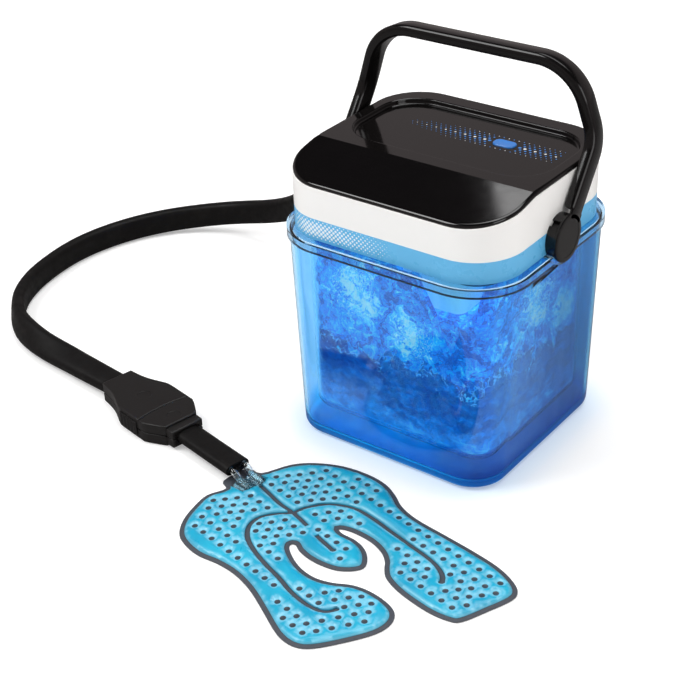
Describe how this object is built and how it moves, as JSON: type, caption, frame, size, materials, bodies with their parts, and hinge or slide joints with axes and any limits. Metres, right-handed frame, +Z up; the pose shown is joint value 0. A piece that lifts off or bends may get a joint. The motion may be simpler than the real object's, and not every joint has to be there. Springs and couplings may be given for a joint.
{
  "type": "hot cold therapy machine",
  "caption": "Insulated water reservoir with a pump lid, swinging bail handle, long flat twin hose, quick coupling and a quilted water pad with crescent slots.",
  "frame": {"origin": "centre of the reservoir's footprint, on the table", "axes": "+Z up; -Y is the side whose lid slopes down, which faces the pad; +X along that side, so the hose leaves on -X"},
  "size_m": [0.7348, 0.5384, 0.3618],
  "materials": {
    "tub_blue": "clear tinted",
    "liner_blue": "clear tinted",
    "rim_clear": "clear",
    "band_blue": "satin",
    "band_white": "satin",
    "top_black": "high gloss",
    "button_blue": "gloss",
    "inner_white": "matt",
    "seal_rubber": "matt",
    "steel": "bright",
    "board_green": "satin",
    "switch_grey": "matt",
    "impeller_plastic": "matt",
    "clear_tube": "clear",
    "black_plastic": "matt",
    "black_rubber": "matt",
    "backing_grey": "matt coated",
    "film_blue": "glossy film"
  },
  "bodies": {
    "reservoir": {"tub_shell": "tub_blue", "tub_liner": "liner_blue", "tub_rim": "rim_clear", "main_hose": "black_rubber", "coupling_socket_top": "black_plastic", "coupling_socket_bottom": "black_plastic", "coupling_valves": "inner_white"},
    "lid": {"lid_skirt": "band_blue", "lid_shell": "band_white", "lid_top_cover": "top_black", "lid_underplate": "inner_white", "lid_seal": "seal_rubber", "lid_screws": "steel", "button_switch": "switch_grey", "control_board": "board_green", "board_screws": "steel", "pump_housing": "inner_white", "pump_cover": "inner_white", "pump_motor": "steel", "intake_tube": "clear_tube", "intake_filter": "black_plastic", "outlet_tube": "clear_tube", "return_tube": "clear_tube", "hose_gland": "black_plastic", "strain_relief": "black_rubber", "dc_inlet": "black_plastic", "hub_boss_left": "top_black", "hub_boss_right": "top_black"},
    "handle": {"handle_bail": "top_black", "handle_hub_left": "top_black", "handle_hub_right": "top_black"},
    "button": {"power_button": "button_blue"},
    "rotor": {"pump_shaft": "steel", "impeller": "impeller_plastic"},
    "latch_left": {"coupling_latch_left": "black_plastic"},
    "latch_right": {"coupling_latch_right": "black_plastic"},
    "pad": {"coupling_plug_top": "black_plastic", "coupling_plug_bottom": "black_plastic", "coupling_nipples": "steel", "coupling_o_rings": "seal_rubber", "pad_hose": "black_rubber", "pad_tubes": "clear_tube", "pad_inlet": "clear_tube", "pad_backing": "backing_grey", "pad_bladder": "film_blue"}
  },
  "joints": [
    {"name": "lid_lift", "type": "slide", "parent": "reservoir", "child": "lid", "axis": [0, 0, 1], "range_m": [0, 0.2]},
    {"name": "handle_swing", "type": "hinge", "parent": "lid", "child": "handle", "pos_m": [0, -0.001, 0.2205], "axis": [1, 0, 0], "range_deg": [0, 125]},
    {"name": "button_press", "type": "slide", "parent": "lid", "child": "button", "axis": [0, 0, -1], "range_m": [0, 0.001], "stiffness_N_per_m": 1500, "springref_m": -0.0005},
    {"name": "impeller_spin", "type": "hinge", "parent": "lid", "child": "rotor", "pos_m": [0.035, -0.046, 0.171], "axis": [0, 0, 1], "continuous": true},
    {"name": "latch_left_press", "type": "slide", "parent": "reservoir", "child": "latch_left", "axis": [-0.2079, -0.9781, 0], "range_m": [0, 0.0018], "stiffness_N_per_m": 1500, "springref_m": -0.0005},
    {"name": "latch_right_press", "type": "slide", "parent": "reservoir", "child": "latch_right", "axis": [0.2079, 0.9781, 0], "range_m": [0, 0.0018], "stiffness_N_per_m": 1500, "springref_m": -0.0005},
    {"name": "coupling_pull", "type": "slide", "parent": "reservoir", "child": "pad", "axis": [0.9781, -0.2079, 0], "range_m": [0, 0.04]}
  ]
}
